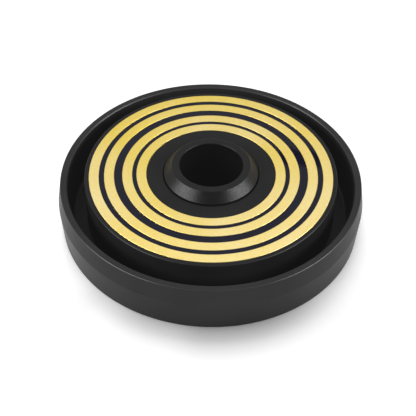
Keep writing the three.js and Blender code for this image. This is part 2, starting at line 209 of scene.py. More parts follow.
def chain(tree, operation, first, *others):
    """The sum or the product of several values."""
    for other in others:
        first = maths(tree, operation, first, other)
    return first


def soft_step(tree, value, start, end, low, high):
    """A soft step from low to high while the value goes from start to end."""
    step = put(tree, "ShaderNodeMapRange", value, start, end, low, high,
               interpolation_type="SMOOTHSTEP")
    return step.outputs["Result"]


# %% Glow of the paper
paper_tree = paper.node_tree
spot = put(paper_tree, "ShaderNodeTexCoord").outputs["Object"]
from_axis = put(paper_tree, "ShaderNodeVectorMath", spot, operation="LENGTH").outputs["Value"]
spot_split = put(paper_tree, "ShaderNodeSeparateXYZ", spot)
sideways = maths(paper_tree, "DIVIDE", spot_split.outputs["X"], from_axis)
backwards = maths(paper_tree, "DIVIDE", spot_split.outputs["Y"], from_axis)

# Each row says what the step follows, where it starts and ends, and what it goes from and to.
paper_steps = {
    "tone": (from_axis, 20 * MM, 40 * MM, 0.08, 0.93),
    "near": (from_axis, 57 * MM, 69 * MM, 0, 0.17),
    "far": (from_axis, 72 * MM, 100 * MM, 0, 0.07),
    "outside": (from_axis, 57 * MM, 61 * MM, 0, 1),
    "flank": (from_axis, 60 * MM, 75 * MM, 0.36, 0),
    "not in front": (backwards, -1.0, -0.6, 0, 1),
    "more at left": (sideways, -1, 1, 1.28, 0.72),
    "corner": (from_axis, 66 * MM, 84 * MM, 0.12, 0),
    "at left": (sideways, 0, -0.25, 0, 1),
    "in front": (backwards, -0.70, -0.84, 0, 1),
}
paper_values = {name: soft_step(paper_tree, *row) for name, row in paper_steps.items()}


def glow_of(*names):
    return chain(paper_tree, "MULTIPLY", *(paper_values[name] for name in names))


glow_all = chain(
    paper_tree, "ADD", paper_values["near"], paper_values["far"],
    glow_of("flank", "not in front", "more at left", "outside"),
    glow_of("corner", "at left", "in front", "outside"),
)
# Painted shade: the paper's colour is dark under the object.
paper_tree.links.new(paper_values["tone"], paper_shader.inputs["Base Color"])
# Painted light: the paper glows beside the object, weakest in front next to the foot, where that paints a
# darker contact shadow.
paper_tree.links.new(glow_all, paper_shader.inputs["Emission Color"])
print(len(paper_steps), "soft steps in the paper")

# %% [markdown]
# The side boxes would throw the shadow of the dish to both sides, so they are kept off the paper. A light
# box of its own, behind and above, lights the paper and nothing else, and gives the soft shadow in front.


# %% Soft boxes
def soft_box(name, azimuth, elevation, distance, width, height, radiance):
    """An area light that faces the object from the given direction, as bright as its radiance says."""
    a, e = math.radians(azimuth), math.radians(elevation)
    out = Vector((math.cos(a) * math.cos(e), math.sin(a) * math.cos(e), math.sin(e)))
    data = bpy.data.lights.new(name, "AREA")
    data.shape = "RECTANGLE"
    data.size, data.size_y = width, height
    data.energy = math.pi * width * height * radiance
    lamp = in_scene(name, data)
    lamp.location = out * distance
    lamp.rotation_euler = out.to_track_quat("Z", "Y").to_euler()
    return lamp


side_box_width = 0.85
side_box_height = 0.48
side_radiance = 11.5
side_lights = [
    soft_box("left_box", 205, 29, 1.1, side_box_width, side_box_height, side_radiance),
    soft_box("right_box", 343, 27, 1.1, side_box_width, side_box_height, side_radiance),
]
soft_box("back_box", 90, 66, 1.2, 0.9, 0.40, 0.8)
paper_light = soft_box("paper_box", 90, 63, 1.2, 0.65, 0.50, 6.0)


# %% Which light reaches the paper
def receivers(name, state):
    """A collection that holds the floor, as the only receiver of a light or as the one left out."""
    group = bpy.data.collections.new(name)
    group.objects.link(floor)
    group.collection_objects[0].light_linking.link_state = state
    return group


paper_light.light_linking.receiver_collection = receivers("paper_only", "INCLUDE")
for lamp in side_lights:
    lamp.light_linking.receiver_collection = receivers(f"{lamp.name}_spares_paper", "EXCLUDE")

# %% [markdown]
# Everything else that the object mirrors is the world's own shader. It is dim towards the camera and bright
# behind, brighter again overhead, and it has one thin dark seam, as between two panels, which the glossy
# board mirrors. White walls and black flags on stands would do the same in a studio.

# %% World
surround_bright = 0.85
surround_dim = 0.25
dim_side = Vector((0, -0.82, 0.57))
dim_span = (0.25, 0.85)
overhead_extra = 0.62
overhead_height = (0.70, 0.93)

world = bpy.data.worlds.new("studio_surround")
bpy.context.scene.world = world
world.use_nodes = True
surround = world.node_tree
surround.nodes.clear()
direction = put(surround, "ShaderNodeTexCoord").outputs["Generated"]
towards = put(surround, "ShaderNodeVectorMath", direction, dim_side, operation="DOT_PRODUCT")
apart = put(surround, "ShaderNodeSeparateXYZ", direction)
fade = soft_step(surround, towards.outputs["Value"], *dim_span, surround_bright, surround_dim)
overhead = soft_step(surround, apart.outputs["Z"], *overhead_height, 0, overhead_extra)
print("surround from", surround_dim, "to", round(surround_bright + overhead_extra, 2))

# %% A dark seam in the back panel
seam_x = (0.067, 0.106)
seam_z = (0.6605, 0.6695)
seam_soft = 0.002
seam_dark = 0.9
back_panel = (0, 0.1)
window = []
for axis, (low, high) in (("X", seam_x), ("Z", seam_z)):
    window.append(soft_step(surround, apart.outputs[axis], low - seam_soft, low, 0, 1))
    window.append(soft_step(surround, apart.outputs[axis], high, high + seam_soft, 1, 0))
window.append(soft_step(surround, apart.outputs["Y"], *back_panel, 0, 1))
seam = soft_step(surround, chain(surround, "MULTIPLY", *window), 0, 1, 1, 1 - seam_dark)
strength = maths(surround, "MULTIPLY", maths(surround, "ADD", fade, overhead), seam)
glow = put(surround, "ShaderNodeBackground", None, strength)
put(surround, "ShaderNodeOutputWorld", glow.outputs[0])
print(len(surround.nodes), "nodes in the surround")

# %% [markdown]
# White paper all round a black object throws a little stray light into any lens, so no black in such a
# picture is quite black. The colour management can add that veil: its black level is set just below zero,
# and every tone is lifted by that much.

# %% Veil of stray light
veil = 0.0052
view = bpy.context.scene.view_settings
view.view_transform = "Standard"
view.use_curve_mapping = True
view.curve_mapping.black_level = (-veil, -veil, -veil)
view.curve_mapping.update()
print("veil", tuple(round(x, 4) for x in view.curve_mapping.black_level))

# %% [markdown]
# ## Shared effects
#
# A surface is never one flat colour. Moulded plastic has a fine even grain, turned metal has rings too
# fine to count, and everything gathers a little unevenness. Each effect is one node group that reads
# the object's own coordinates, in metres, and puts out a value that each material uses in its own way.

# %% Group helpers
mm_per_metre = 1000.0


def new_group(name, inputs, outputs):
    """A shader group with float inputs {name: default} and float outputs."""
    tree = bpy.data.node_groups.new(name, "ShaderNodeTree")
    for label, value in inputs.items():
        socket = tree.interface.new_socket(label, in_out="INPUT", socket_type="NodeSocketFloat")
        socket.default_value = value
    for label in outputs:
        tree.interface.new_socket(label, in_out="OUTPUT", socket_type="NodeSocketFloat")
    return tree, tree.nodes.new("NodeGroupInput"), tree.nodes.new("NodeGroupOutput")


def noise(tree, vector, scale, detail=2.0, roughness=0.5):
    return put(tree, "ShaderNodeTexNoise", vector, None, scale, detail, roughness).outputs["Fac"]


# %% Grain of a mould
def make_mould_grain():
    """Fine spark-eroded grain and a slow drift. Both sizes are in millimetres."""
    tree, given, result = new_group(
        "mould_grain", {"Grain size": 0.25, "Drift size": 18.0}, ["Grain", "Drift"]
    )
    place = put(tree, "ShaderNodeTexCoord").outputs["Object"]
    fine = maths(tree, "DIVIDE", mm_per_metre, given.outputs["Grain size"])
    slow = maths(tree, "DIVIDE", mm_per_metre, given.outputs["Drift size"])
    tree.links.new(noise(tree, place, fine, 3.0, 0.6), result.inputs["Grain"])
    tree.links.new(noise(tree, place, slow), result.inputs["Drift"])
    return tree


mould_grain = make_mould_grain()


# %% Burnished edges
def make_edge_shine():
    """A mask that is as strong as asked on sloping edges, and zero on flat and upright faces."""
    tree, given, result = new_group(
        "edge_shine", {"Slope from": 0.45, "Slope to": 0.93, "Strength": 1.0}, ["Edge"]
    )
    normal = put(tree, "ShaderNodeTexCoord").outputs["Normal"]
    slope = put(tree, "ShaderNodeSeparateXYZ", normal).outputs["Z"]
    above = maths(tree, "GREATER_THAN", slope, given.outputs["Slope from"])
    below = maths(tree, "LESS_THAN", slope, given.outputs["Slope to"])
    edge = chain(tree, "MULTIPLY", above, below, given.outputs["Strength"])
    tree.links.new(edge, result.inputs["Edge"])
    return tree


edge_shine = make_edge_shine()

# %% Marks of a lathe, and a painted sheen
spread_per_metre = 30.0
front_sheen_per_metre = 22.0


def make_turning_marks():
    """Rings round the Z axis, and a tone made of streaks and patches that run outwards from it.
    A painted sheen makes the tone paler towards the front, by as much as asked.
    """
    tree, given, result = new_group(
        "turning_marks",
        {"Pitch": 0.12, "Streak count": 90.0, "Patch count": 5.0, "Patch share": 0.0, "Fade": 0.0},
        ["Rings", "Tone"],
    )
    place = put(tree, "ShaderNodeTexCoord").outputs["Object"]
    x, y, z = put(tree, "ShaderNodeSeparateXYZ", place).outputs
    flat = put(tree, "ShaderNodeCombineXYZ", x, y).outputs[0]
    radius = put(tree, "ShaderNodeVectorMath", flat, operation="LENGTH").outputs["Value"]
    across = put(tree, "ShaderNodeCombineXYZ", radius, z).outputs[0]
    rings = noise(tree, across, maths(tree, "DIVIDE", mm_per_metre, given.outputs["Pitch"]))
    unit = put(tree, "ShaderNodeVectorMath", flat, operation="NORMALIZE").outputs[0]
    spread = maths(tree, "MULTIPLY", radius, spread_per_metre)
    spread = put(tree, "ShaderNodeCombineXYZ", None, None, spread).outputs[0]
    lifted = put(tree, "ShaderNodeVectorMath", unit, spread, operation="ADD").outputs[0]
    turns = maths(tree, "DIVIDE", given.outputs["Streak count"], 2 * math.pi)
    streaks = noise(tree, lifted, turns, 3.0, 0.6)
    turns = maths(tree, "DIVIDE", given.outputs["Patch count"], 2 * math.pi)
    patches = noise(tree, lifted, turns)
    wider = maths(tree, "SUBTRACT", patches, streaks)
    tone = maths(tree, "MULTIPLY_ADD", wider, given.outputs["Patch share"], streaks)
    # Painted sheen: the tone grows towards the front of the object, so the metal is paler there.
    sheen_towards_front = maths(tree, "SUBTRACT", radius, y)
    sheen_towards_front = maths(tree, "MULTIPLY_ADD", sheen_towards_front, front_sheen_per_metre, -1.0)
    tone = maths(tree, "MULTIPLY_ADD", sheen_towards_front, given.outputs["Fade"], tone)
    tree.links.new(rings, result.inputs["Rings"])
    tree.links.new(tone, result.inputs["Tone"])
    return tree


turning_marks = make_turning_marks()
print("groups", [g.name for g in bpy.data.node_groups])

# %% [markdown]
# ## Finishes
#
# Every finish starts from the Principled shader. What is the same all over a surface, such as its metal
# or how strongly it shines, is set on the shader's own sockets. What changes from place to place comes
# from the shared effects: a colour between a darker and a lighter tone, a roughness between two values,
# and a bump. After the two tones, each finish gives its roughness, the size of its grain or marks in
# millimetres, and the height of its bump in millimetres.

# %% Finish helper
noise_span = (0.3, 0.7)
burnish_roughness = 0.3
finishes = {}


def finish(name, effect, values, tones, tone_from, roughness, rough_from, bump_from, bump_mm,
           metallic=0.0, specular=0.5, burnished=0.0):
    """Adds a material whose colour, roughness and bump each follow one output of a shared effect."""
    made, shader = new_material(name, {
        "Metallic": metallic, "Specular IOR Level": specular, "Coat Roughness": burnish_roughness,
    })
    tree = made.node_tree
    marks = put(tree, "ShaderNodeGroup", node_tree=effect)
    for label, value in values.items():
        marks.inputs[label].default_value = value
    ramp = put(tree, "ShaderNodeValToRGB", marks.outputs[tone_from])
    for stop, position, tone in zip(ramp.color_ramp.elements, noise_span, tones):
        stop.position = position
        stop.color = (*tone, 1)
    rough = put(tree, "ShaderNodeMapRange", marks.outputs[rough_from], *noise_span, *roughness)
    bump = put(tree, "ShaderNodeBump", 1.0, bump_mm * MM)
    tree.links.new(marks.outputs[bump_from], bump.inputs["Height"])
    tree.links.new(ramp.outputs["Color"], shader.inputs["Base Color"])
    tree.links.new(rough.outputs["Result"], shader.inputs["Roughness"])
    tree.links.new(bump.outputs["Normal"], shader.inputs["Normal"])
    if burnished:
        edges = put(tree, "ShaderNodeGroup", node_tree=edge_shine)
        edges.inputs["Strength"].default_value = burnished
        tree.links.new(edges.outputs["Edge"], shader.inputs["Coat Weight"])
    finishes[name] = made


def moulded(name, tones, roughness, grain_mm, bump_mm, rough_from="Drift", **more):
    finish(name, mould_grain, {"Grain size": grain_mm}, tones, "Drift", roughness, rough_from,
           "Grain", bump_mm, **more)


# Its fade is the strength of a painted sheen that makes the tone paler towards the front.
def turned_metal(name, tones, roughness, pitch_mm, bump_mm, streaks=90.0, patches=0.0, fade=0.0):
    marks = {"Pitch": pitch_mm, "Streak count": streaks, "Patch share": patches, "Fade": fade}
    finish(name, turning_marks, marks, tones, "Tone", roughness, "Rings", "Rings", bump_mm,
           metallic=1.0)


# %% Finishes of the pieces
moulded("shell_plastic", [(0.0135, 0.0135, 0.0138), (0.0175, 0.0175, 0.0180)], (0.36, 0.44),
        0.32, 0.010, specular=0.09, burnished=0.55)
moulded("drum_plastic", [(0.0060, 0.0060, 0.0062), (0.0085, 0.0085, 0.0088)], (0.38, 0.46),
        0.42, 0.014, specular=0.10, burnished=0.16)
moulded("hub_plastic", [(0.0012, 0.0012, 0.0013), (0.0022, 0.0022, 0.0024)], (0.27, 0.45),
        0.60, 0.030, rough_from="Grain", specular=0.205)
moulded("board_resin", [(0.001, 0.001, 0.006), (0.002, 0.002, 0.010)], (0.015, 0.03),
        1.5, 0.001, specular=0.22)
# The brass gets a painted sheen, paler towards the front.
turned_metal("ring_brass", [(0.87, 0.655, 0.095), (0.945, 0.80, 0.43)], (0.36, 0.46),
             0.10, 0.001, streaks=240.0, patches=0.6, fade=0.07)
turned_metal("insert_brass", [(0.70, 0.50, 0.20), (0.80, 0.60, 0.28)], (0.25, 0.40), 0.10, 0.002)
turned_metal("bearing_steel", [(0.52, 0.53, 0.55), (0.66, 0.67, 0.69)], (0.18, 0.30), 0.06, 0.001)
turned_metal("black_steel", [(0.034, 0.035, 0.038), (0.046, 0.047, 0.050)], (0.32, 0.45), 0.12, 0.002)
moulded("solder_tin", [(0.50, 0.51, 0.52), (0.66, 0.67, 0.68)], (0.2, 0.4), 0.8, 0.02, metallic=1.0)
moulded("cage_polymer", [(0.36, 0.27, 0.13), (0.44, 0.34, 0.18)], (0.45, 0.6), 0.3, 0.005)
moulded("seal_rubber", [(0.010, 0.010, 0.010), (0.016, 0.016, 0.016)], (0.6, 0.75), 0.4, 0.008)
moulded("block_plastic", [(0.62, 0.58, 0.48), (0.70, 0.67, 0.57)], (0.4, 0.5), 0.3, 0.005)
for name, tones in {
    "lead_red": [(0.38, 0.02, 0.015), (0.46, 0.035, 0.025)],
    "lead_black": [(0.010, 0.010, 0.011), (0.018, 0.018, 0.019)],
    "lead_green": [(0.015, 0.15, 0.04), (0.025, 0.20, 0.06)],
    "lead_yellow": [(0.62, 0.42, 0.02), (0.72, 0.52, 0.04)],
}.items():
    moulded(name, tones, (0.35, 0.45), 0.5, 0.003)
slot_of = {entry["node"]: entry["material_slot"] for entry in frame["record"]["subparts"]}
for node, slot in slot_of.items():
    node_slots = frame["nodes"][node].data.materials
    node_slots.clear()
    node_slots.append(finishes[slot])
print(len(finishes), "finishes on", len(slot_of), "nodes")

# %% [markdown]
# ## Turning a piece
#
# An outline is a list of corners, each with its distance from the axis, its height and how far it is
# rounded. It could be drawn as a curve and given a Screw modifier. Here a face is made from the corners,
# the bevel operator rounds them, the face is dropped so that only its edge is left, and one spin with
# its ends merged turns the edge into a closed solid.

# %% Turn an outline
rounding_steps = 4
axis_reach = 1e-9
weld_reach = 0.0005 * MM


def outline_edges(bm, corners):
    """The rounded outline as edges. A corner is (radius, height) or (radius, height, rounding)."""
    points = [bm.verts.new((c[0] * MM, 0, c[1] * MM)) for c in corners]
    bm.faces.new(points)
    for amount in sorted({c[2] for c in corners if len(c) > 2}):
        chosen = [v for v, c in zip(points, corners) if len(c) > 2 and c[2] == amount]
        bmesh.ops.bevel(bm, geom=chosen, offset=amount * MM, offset_type="OFFSET", affect="VERTICES",
                        segments=rounding_steps, profile=0.5, material=-1)
    bmesh.ops.delete(bm, geom=bm.faces[:], context="FACES_ONLY")
    on_axis = [e for e in bm.edges if all(abs(v.co.x) < axis_reach for v in e.verts)]
    bmesh.ops.delete(bm, geom=on_axis, context="EDGES")


def weld(bm):
    """Merges doubled corners, then turns every face outwards."""
    bmesh.ops.remove_doubles(bm, verts=bm.verts[:], dist=weld_reach)
    bmesh.ops.recalc_face_normals(bm, faces=bm.faces[:])


def move(bm, by):
    """Moves a whole bmesh by a vector in millimetres."""
    bmesh.ops.translate(bm, verts=bm.verts[:], vec=Vector(by) * MM)


def turned(corners, steps, place=(0, 0, 0)):
    """A solid turned from its outline, round the Z axis or round an upright line through a place."""
    bm = bmesh.new()
    outline_edges(bm, corners)
    bmesh.ops.spin(bm, geom=bm.verts[:] + bm.edges[:], cent=(0, 0, 0), axis=(0, 0, 1),
                   angle=2 * math.pi, steps=steps, use_merge=True)
    weld(bm)
    move(bm, place)
    return bm


def square_section(inner, outer, low, high, eases):
    """The corners of a ring or pin with a rectangular section, each with its own rounding."""
    corners = ((inner, low), (outer, low), (outer, high), (inner, high))
    return [(*corner, ease) if ease else corner for corner, ease in zip(corners, eases)]


# %% Hand a mesh over as a piece
SHARP = math.radians(38)
pieces_made = []


def piece_from(bm, name, node):
    """Finishes a bmesh as the piece that stands for a node, on its body and in its material."""
    for face in bm.faces:
        face.smooth = True
    for edge in bm.edges:
        edge.smooth = edge.calc_face_angle(0) < SHARP
    open_edges = sum(not edge.is_manifold for edge in bm.edges)
    mesh = bpy.data.meshes.new(name)
    bm.to_mesh(mesh)
    bm.free()
    mesh.materials.append(finishes[slot_of[node]])
    piece = in_scene(name, mesh)
    even = piece.modifiers.new("even_shading", "WEIGHTED_NORMAL")
    even.keep_sharp = True
    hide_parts(node)
    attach(piece, frame["nodes"][node]["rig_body"])
    pieces_made.append(name)
    print(name, len(mesh.polygons), "faces,", open_edges, "open edges")


# %% [markdown]
# ## Holes and bosses
#
# A hole that isn't on the axis can't come from the spin. It could be built into the mesh face by face,
# but a drill is simpler: a second solid is subtracted with the Boolean modifier, the way a real hole is
# cut. Bosses are added in the same way. Both helper solids are thrown away afterwards.


# %% Join and cut
def gathered(solids):
    """Several loose solids as one bmesh."""
    whole = bmesh.new()
    for solid in solids:
        mesh = bpy.data.meshes.new("loose")
        solid.to_mesh(mesh)
        solid.free()
        whole.from_mesh(mesh)
        bpy.data.meshes.remove(mesh)
    return whole


def combined(first, tools, operation):
    """The first solid with the tools joined on (UNION), cut out (DIFFERENCE) or kept (INTERSECT)."""
    bodies = []
    for label, bm in (("work", first), ("tool", gathered(tools))):
        mesh = bpy.data.meshes.new(label)
        bm.to_mesh(mesh)
        bm.free()
        bodies.append(in_scene(label, mesh))
    work, tool = bodies
    cut = work.modifiers.new("cut", "BOOLEAN")
    cut.solver = "EXACT"
    cut.operation = operation
    cut.object = tool
    result = bmesh.new()
    result.from_object(work, bpy.context.evaluated_depsgraph_get())
    for body in bodies:
        mesh = body.data
        bpy.data.objects.remove(body)
        bpy.data.meshes.remove(mesh)
    bmesh.ops.remove_doubles(result, verts=result.verts[:], dist=weld_reach)
    return result


# %% Blocks, bars and drills
ease_steps = 3


def brick(size, centre, ease=0.0):
    """A rectangular block with its edges rounded, in millimetres."""
    bm = bmesh.new()
    bmesh.ops.create_cube(bm, size=MM)
    bmesh.ops.scale(bm, verts=bm.verts[:], vec=size)
    if ease:
        bmesh.ops.bevel(bm, geom=bm.edges[:], offset=ease * MM, offset_type="OFFSET", affect="EDGES",
                        segments=ease_steps, profile=0.5, material=-1)
    move(bm, centre)
    return bm


def bar(radius, length, sides):
    """An upright bar round the origin, in millimetres."""
    bm = bmesh.new()
    bmesh.ops.create_cone(bm, cap_ends=True, segments=sides, radius1=radius * MM,
                          radius2=radius * MM, depth=length * MM)
    return bm


def bored(radius, low, high, steps, place, mouth=0.0):
    """The drill for an upright hole. The mouth is a countersink at its lower end."""
    corners = [(0, low - 1), (radius + mouth, low - 1)]
    if mouth:
        corners += [(radius + mouth, low), (radius, low + mouth)]
    return turned([*corners, (radius, high), (0, high)], steps, place)


# %% [markdown]
# ## Contact rings
#
# Each ring is a flat brass strip, turned and set flush. Its edges are eased, so a thin dark line shows
# where it meets the board. Only the edge needs rounding, so the outline has four corners.

# %% Contact rings
fine_steps = 256
ring_width = 3.9
ring_ease = 0.12
for i in FOUR:
    node = f"contact_ring_{i}"
    outer = half_width(node)
    inner = outer - ring_width
    low, high = bottom_of(node), top_of(node)
    section = square_section(inner, outer, low, high, (0, 0, ring_ease, ring_ease))
    piece_from(turned(section, fine_steps), f"{node}_strip", node)

# %% [markdown]
# ## Where the small parts sit
#
# Pins and screws pass through more than one piece, so their places are read once from the frame and used
# by every hole that takes them.

# %% Places of pins, screws and inserts
small_steps = 32
hole_gap = 0.1


def places_of(name):
    return [middle_of(f"{name}_{i}") for i in FOUR]


def radius_of(node):
    """The radius, in millimetres, of a small round piece, whatever its distance from the axis."""
    low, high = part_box(node)
    return max(high.x - low.x, high.y - low.y) / 2 / MM


def drills(radius, low, high, places, steps=small_steps, mouth=0.0):
    """A drill at each place, a little wider than what goes through the hole."""
    return [bored(radius + hole_gap, low, high, steps, place, mouth) for place in places]


pin_places = places_of("ring_pin")
drum_screw_places = places_of("drum_screw")
cap_screw_places = places_of("cap_screw")
insert_places = places_of("mounting_insert")
block_place = middle_of("terminal_block")
pin_radius = radius_of("ring_pin_1")
shank_radius = 1.25
screw_head_radius = radius_of("cap_screw_1")
screw_head_height = 1.3
print("pins", [tuple(round(x, 1) for x in place[:2]) for place in pin_places])

# %% [markdown]
# ## Ring board
#
# The rings lie in a board of cast resin, polished with them. It is one outline with a groove for each
# ring, so the grooves are added to the outline by a loop, and four pin holes are drilled afterwards.

# %% Ring board
board_low = bottom_of("ring_board")
board_outer = half_width("ring_board")
groove_gap = 0.05
board_ease = 0.08
first_inner = half_width("contact_ring_1") - ring_width - groove_gap
board_corners = [(first_inner, board_low), (board_outer, board_low)]
for i in reversed(FOUR):
    node = f"contact_ring_{i}"
    floor_of_groove = bottom_of(node) - groove_gap
    outer = half_width(node) + groove_gap
    inner = half_width(node) - ring_width - groove_gap
    if i < 4:
        board_corners.append((outer, ring_plane, board_ease))
        board_corners.append((outer, floor_of_groove))
    else:
        board_corners.append((board_outer, floor_of_groove))
    board_corners.append((inner, floor_of_groove))
    if i > 1:
        board_corners.append((inner, ring_plane, board_ease))

board_solid = turned(board_corners, fine_steps)
board_drills = drills(pin_radius, board_low, floor_of_groove + 1, pin_places)
piece_from(combined(board_solid, board_drills, "DIFFERENCE"), "ring_board_casting", "ring_board")

# %% [markdown]
# ## Ring drum
#
# The drum holds the board in a recess, leaves a plain land round the hub and a narrow lip outside, and
# hangs a skirt into the channel of the dish. Its visible edges are eased as a mould's would be.

# %% Ring drum
drum_low = bottom_of("ring_drum")
web_below_nose = 11.3
web_bottom = top_of("hub_sleeve") - web_below_nose
web_top = board_low - groove_gap
nose_radius = 18.75
crevice = 0.3
skirt_wall = 1.8
recess_gap = 0.1
lip_chamfer = 0.22
drum_solid = turned([
    (nose_radius + crevice, web_bottom),
    (drum_radius - skirt_wall, web_bottom, 0.6),
    (drum_radius - skirt_wall, drum_low, 0.3),
    (drum_radius, drum_low, 0.4),
    (drum_radius, ring_plane - lip_chamfer, 0.05),
    (drum_radius - lip_chamfer, ring_plane, 0.05),
    (board_outer + recess_gap, ring_plane, 0.12),
    (board_outer + recess_gap, web_top),
    (first_inner - recess_gap, web_top),
    (first_inner - recess_gap, ring_plane, 0.12),
    (nose_radius + crevice, ring_plane, 0.25),
], fine_steps)
screw_tip = top_of("drum_screw_1") + hole_gap
block_screw_tip = top_of("terminal_screw") + 2 * hole_gap
drum_drills = [
    *drills(pin_radius, web_bottom - 1, web_top + 1, pin_places),
    *drills(shank_radius, web_bottom - 1, screw_tip, drum_screw_places),
    *drills(shank_radius, web_bottom - 1, block_screw_tip, [block_place]),
]
piece_from(combined(drum_solid, drum_drills, "DIFFERENCE"), "ring_drum_moulding", "ring_drum")

# %% [markdown]
# ## Housing dish
#
# A deep round dish with a flat rim. Its wall is widest at the mould's parting line and drafts away from
# it both ways, which is what lets such a part leave its mould. A boss in the middle holds the bearing, and
# four low bosses take the threaded inserts that the dish is mounted by.

# %% Housing dish outline
dish_radius = half_width("housing_dish")
rim_top = top_of("housing_dish")
foot_inset = 0.85
rim_inset = 1.1
rim_width = 2.7
outer_chamfer = 0.17
inner_chamfer = 0.38
wall_draft = 1.2
parting_height = 12.8
floor_top = 3.0
rim_outer = dish_radius - rim_inset
rim_inner = rim_outer - rim_width
cap_gap = 0.1
cap_radius = half_width("bearing_cap") + cap_gap
cap_recess = 1.9
seat_radius = half_width("bearing_outer_race") + cap_gap
bearing_top = top_of("bearing_outer_race")
boss_wall = 5.3
boss_radius = seat_radius + boss_wall
lip_sheet = 1.45
boss_top = bearing_top + lip_sheet
lip_radius = 18.3
dish_solid = turned([
    (cap_radius, 0, 0.3),
    (dish_radius - foot_inset, 0, 0.5),
    (dish_radius, parting_height, 0.12),
    (rim_outer, rim_top - outer_chamfer, 0.05),
    (rim_outer - outer_chamfer, rim_top, 0.05),
    (rim_inner + inner_chamfer, rim_top, 0.05),
    (rim_inner, rim_top - inner_chamfer, 0.05),
    (rim_inner - wall_draft, floor_top, 1.5),
    (boss_radius, floor_top, 1.0),
    (boss_radius, boss_top, 0.4),
    (lip_radius, boss_top, 0.3),
    (lip_radius, bearing_top + groove_gap, 0.1),
    (seat_radius, bearing_top + groove_gap),
    (seat_radius, cap_recess),
    (cap_radius, cap_recess),
], fine_steps)
print("dish", round(2 * dish_radius, 1), "mm across, rim at", round(rim_top, 2), "mm")

# %% Insert bosses and holes of the dish
insert_radius = radius_of("mounting_insert_1")
insert_wall = 1.5
insert_top = top_of("mounting_insert_1")
insert_mouth = 0.3
boss_draft = 0.3
boss_foot = floor_top / 2
insert_bosses = [turned([
    (0, boss_foot),
    (insert_radius + insert_wall + boss_draft, boss_foot),
    (insert_radius + insert_wall, insert_top + insert_wall, 0.5),
    (0, insert_top + insert_wall),
], 2 * small_steps, place) for place in insert_places]
dish_solid = combined(dish_solid, insert_bosses, "UNION")
cap_screw_tip = top_of("cap_screw_1") + hole_gap
dish_drills = [
    *drills(insert_radius, 0, insert_top + groove_gap, insert_places, 2 * small_steps, insert_mouth),
    *drills(shank_radius, 0, cap_screw_tip, cap_screw_places),
]
piece_from(combined(dish_solid, dish_drills, "DIFFERENCE"), "housing_dish_moulding", "housing_dish")

# %% [markdown]
# ## Hub sleeve
#
# The hub carries the drum. Above it stands a nose with a plain cone and a flat top, bored through for the
# shaft; below it runs down through the bearing. A window in its side lets the wires out of the bore, and
# its flange is drilled and countersunk from below for the screws that hold the drum.

# %% Hub sleeve outline
bore_radius = 12.5
sleeve_radius = 15.0
shoulder_radius = 17.2
flange_radius = half_width("hub_sleeve")
nose_top = top_of("hub_sleeve")
flange_top = web_bottom - groove_gap
flange_sheet = 2.0
flange_bottom = web_bottom - flange_sheet
groove_low = bottom_of("hub_circlip") - groove_gap
groove_high = top_of("hub_circlip") + groove_gap
clip_groove = 1.0
cone_height = 3.75
cone_inset = 3.3
hub_solid = turned([
    (bore_radius, bottom_of("hub_sleeve"), 0.35),
    (sleeve_radius, bottom_of("hub_sleeve"), 0.3),
    (sleeve_radius, groove_low),
    (sleeve_radius - clip_groove, groove_low),
    (sleeve_radius - clip_groove, groove_high),
    (sleeve_radius, groove_high),
    (sleeve_radius, bearing_top + groove_gap),
    (shoulder_radius, bearing_top + groove_gap, 0.2),
    (shoulder_radius, flange_bottom, 0.3),
    (flange_radius, flange_bottom, 0.3),
    (flange_radius, flange_top, 0.2),
    (nose_radius, flange_top),
    (nose_radius, nose_top - cone_height, 0.15),
    (nose_radius - cone_inset, nose_top, 0.15),
    (bore_radius, nose_top, 0.4),
], fine_steps)
print("bore", 2 * bore_radius, "mm, nose", round(nose_top - ring_plane, 2), "mm above the rings")

# %% Window and screw holes of the hub
window_width = 9.0
window_height = 2.0
window_reach = 8.7
window_level = (boss_top + flange_bottom) / 2
window_place = (0, -(bore_radius + shoulder_radius) / 2, window_level)
window_ease = 0.5
head_edge = 0.2
hub_cuts = [brick((window_width, window_reach, window_height), window_place, window_ease)]


def countersunk_drill(low, high, place):
    """The drill for a countersunk screw that goes up from below."""
    head = screw_head_radius + hole_gap
    shank = shank_radius + hole_gap
    return turned([
        (0, low - 1), (head, low - 1), (head, low + head_edge + hole_gap),
        (shank, low + screw_head_height + hole_gap), (shank, high), (0, high),
    ], small_steps, place)


hub_cuts += [countersunk_drill(flange_bottom, web_bottom + 1, place) for place in drum_screw_places]
piece_from(combined(hub_solid, hub_cuts, "DIFFERENCE"), "hub_sleeve_turned", "hub_sleeve")

# %% [markdown]
# ## Grommet
#
# A rubber sleeve lines the window so that its edges can't cut the wires. A rounded block is made hollow,
# and only what lies inside the hub's wall and a small bead outside it is kept.

# %% Grommet
grommet_wall = 0.5
grommet_bead = 0.75
seat_gap = 0.1
grommet_eases = (0.45, 0.25)
zone_inner = bore_radius + 0.2
zone_outer = shoulder_radius + grommet_bead
zone = square_section(zone_inner, zone_outer, window_level - window_height,
                      window_level + window_height, (0, 0, 0, 0))
grommet_size = (window_width - 2 * seat_gap, window_reach, window_height - 2 * seat_gap)
grommet_hole = [size - 2 * grommet_wall for size in grommet_size]
grommet_hole[1] = window_reach + 2
grommet = brick(grommet_size, window_place, grommet_eases[0])
grommet = combined(grommet, [turned(zone, fine_steps // 2)], "INTERSECT")
grommet_core = brick(grommet_hole, window_place, grommet_eases[1])
grommet = combined(grommet, [grommet_core], "DIFFERENCE")
piece_from(grommet, "lead_grommet_rubber", "lead_grommet")

# %% [markdown]
# ## Threads and screws
#
# The thread of a screw is too fine to be worth a true helix here. A row of small rings of the same depth
# and pitch gives the same edge against the light and stays one clean spin. The hexagon socket is a
# six-sided bar cut out of the head.

